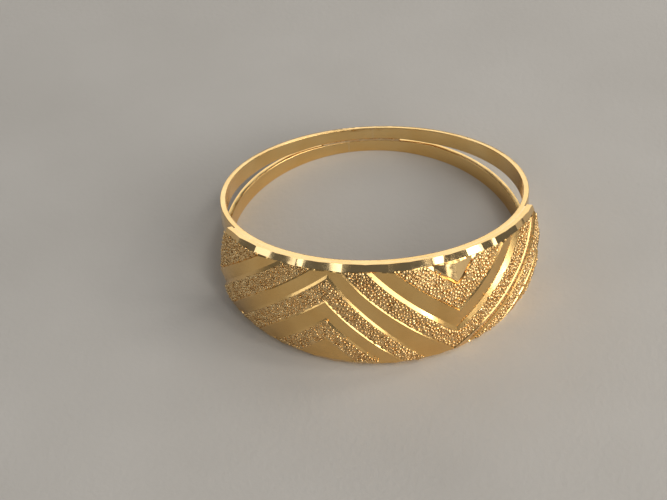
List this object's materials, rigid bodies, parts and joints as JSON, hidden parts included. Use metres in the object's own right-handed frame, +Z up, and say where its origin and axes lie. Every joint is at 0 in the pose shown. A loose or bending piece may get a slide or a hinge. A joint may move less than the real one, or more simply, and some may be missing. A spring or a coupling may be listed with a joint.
{
  "type": "split-shank dress ring",
  "caption": "Wide-fronted gold finger ring: two thin hoops joined at the back and spread under a domed, diamond-cut front plate.",
  "frame": {"origin": "middle of the base of the ring's box, on the surface that the ring's lower edge rests on", "axes": "+Z up from the lower flat edge, -Y towards the front plate, +X to the right as seen from the front; the finger axis leans back from +Z by the tilt of the edge"},
  "size_m": [0.0184, 0.019, 0.0069],
  "materials": {
    "hoop_gold": "polished 18 carat yellow gold",
    "plate_gold": "diamond-cut and stippled 18 carat yellow gold",
    "gold_solder": "filed and polished gold solder"
  },
  "bodies": {
    "root": {"upper_hoop": "hoop_gold", "lower_hoop": "hoop_gold", "upper_hoop_butt_solder": "gold_solder", "lower_hoop_butt_solder": "gold_solder", "back_seam_solder": "gold_solder", "front_plate": "plate_gold", "upper_plate_solder": "gold_solder", "lower_plate_solder": "gold_solder"}
  },
  "joints": []
}
